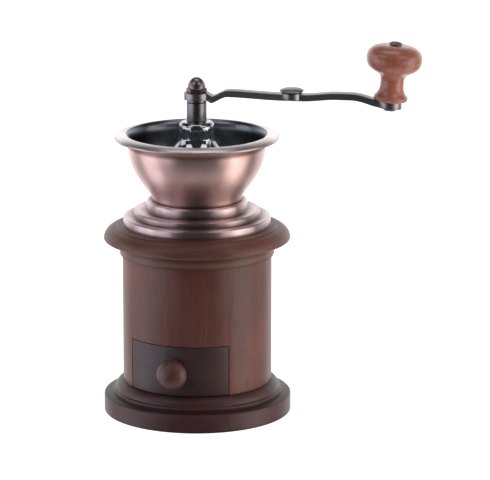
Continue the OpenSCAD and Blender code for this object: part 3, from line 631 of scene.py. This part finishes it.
def make_spring():
    """The coil between the bridge's bearing and the shaft's collar, a merged copy of its CAD node with a
    mesh of its own.
    """
    low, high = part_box("spring")
    lift = joint("grind_adjust")["range_m"][1]
    coil = refined("spring", "coil_spring", 0)
    stands_for(coil, "spring", "grinder", STEEL)
    1 - lift / (high[2] - low[2])
    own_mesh(coil)


def finish_hidden():
    """Gives the CAD nodes that have no finer piece their materials."""
    finishes = {RUBBER: ["base_pad"],
                PLAIN_WOOD: ["drawer_rails", "chute_board", "drawer_sides", "drawer_back", "drawer_bottom"],
                IRON: ["outer_burr", "inner_burr", "bearing_bar"],
                BRASS: ["lower_bushing"],
                BRONZE: ["upper_bushing"],
                STEEL: ["shaft", "spring_collar"],
                ZINC: ["base_screws", "collar_screws", "burr_screws", "bearing_bar_screws",
                       "bridge_screws", "burr_nut", "knob_washer", "pull_screw"]}
    for material, nodes in finishes.items():
        for node in nodes:
            mesh = frame["nodes"][node].data
            mesh.materials.clear()
            mesh.materials.append(material)


# ---- scene ------------------------------------------------------------------------

def make_stage():
    """A pale floor that neither colours nor brightens what stands on it."""
    begin()
    bpy.ops.mesh.primitive_plane_add(size=FLOOR_SIZE, location=(0, 0, 0))
    floor = bpy.context.object
    floor.name = "stage_floor"
    floor.data.materials.append(pale_paint("pale_floor"))
    floor.visible_glossy = False
    floor.visible_diffuse = False
    floor.visible_shadow = False


def aim(thing, target):
    """Points a camera or a lamp at a place."""
    direction = Vector(target) - thing.location
    thing.rotation_mode = "QUATERNION"
    thing.rotation_quaternion = direction.to_track_quat("-Z", "Y")


def around_camera(azimuth, elevation, distance):
    """A point at an angle to the right of the camera's direction, and above the table."""
    a = CAMERA_AZIMUTH + math.radians(azimuth)
    e = math.radians(elevation)
    return (distance * math.cos(e) * math.sin(a), -distance * math.cos(e) * math.cos(a),
            LIGHT_HEIGHT + distance * math.sin(e))


def add_light(name, azimuth, elevation, distance, width, height, radiance, tint=(1, 1, 1)):
    """A soft box, as bright as the given radiance whatever its size."""
    data = bpy.data.lights.new(name, "AREA")
    data.shape = "RECTANGLE"
    data.size, data.size_y = width, height
    data.energy = radiance * math.pi * width * height
    data.color = tint
    lamp = bpy.data.objects.new(name, data)
    bpy.context.scene.collection.objects.link(lamp)
    lamp.location = around_camera(azimuth, elevation, distance)
    aim(lamp, (0, 0, LIGHT_AIM_HEIGHT))


def make_lights():
    """Two tall side panels, two low soft boxes in front, two higher ones, and one overhead."""
    cool, warm = (0.88, 0.9, 1.0), (1.0, 0.96, 0.92)
    add_light("side_panel_left", -90, -8, 0.9, 0.55, 1.5, 1.4, cool)
    add_light("side_panel_right", 78, -8, 0.9, 0.6, 1.5, 1.5, warm)
    add_light("softbox_left", -58, -3, 1.2, 0.8, 0.62, 1.4, cool)
    add_light("softbox_right", 58, -3, 1.2, 0.8, 0.62, 1.35, warm)
    add_light("upper_left", -52, 46, 1.3, 0.6, 0.5, 1.7, cool)
    add_light("upper_right", 50, 46, 1.3, 0.6, 0.5, 1.6, (0.97, 0.97, 1.0))
    add_light("overhead", 180, 84, 1.2, 0.8, 0.6, 1.6)


def make_room():
    """Dim surroundings: dark in front of the object and overhead, bright behind it, half bright below."""
    world = bpy.data.worlds.new("studio")
    bpy.context.scene.world = world
    sheet = Sheet(world)

    def towards(direction):
        """How nearly an outlook points in a direction, 1 when it does."""
        return sheet.add("ShaderNodeVectorMath", {"operation": "DOT_PRODUCT"},
                         [sheet.outlook, direction])[1]

    back = (-math.sin(CAMERA_AZIMUTH), math.cos(CAMERA_AZIMUTH), 0.3)
    behind = towards(back).between(0.1, 0.9, 0.045, 1.3)
    below = towards((0, 0, -1)).between(0.5, 0.85, 0.0, 0.65)
    above = towards((0, 0, 1)).between(0.26, 0.62, 0.0, -1.2)
    strength = (behind + below + above).math("MAXIMUM", 0.04)
    background = sheet.add("ShaderNodeBackground", {}, {"Color": (1, 1, 1, 1), "Strength": strength})[0]
    sheet.add("ShaderNodeOutputWorld", {}, [background])


def make_camera():
    """A long lens, a little to the right of the drawer and above the table."""
    a, e = CAMERA_AZIMUTH, CAMERA_ELEVATION
    right = Vector((math.cos(a), math.sin(a), 0))
    forward = Vector((-math.sin(a) * math.cos(e), math.cos(a) * math.cos(e), -math.sin(e)))
    target = right * CAMERA_AIM_ASIDE + Vector((0, 0, CAMERA_AIM_HEIGHT))
    data = bpy.data.cameras.new("camera")
    data.lens, data.sensor_width = CAMERA_LENS, CAMERA_SENSOR
    camera = bpy.data.objects.new("camera", data)
    bpy.context.scene.collection.objects.link(camera)
    camera.location = target - forward * CAMERA_DISTANCE
    aim(camera, target)
    bpy.context.scene.camera = camera


make_camera()
make_base()
make_top_ring()
make_collar()
make_bowl()
make_pull()
make_knob()
make_refined()
make_spring()
finish_hidden()
make_stage()
make_lights()
make_room()
bpy.context.scene.view_settings.view_transform = "Standard"
begin()
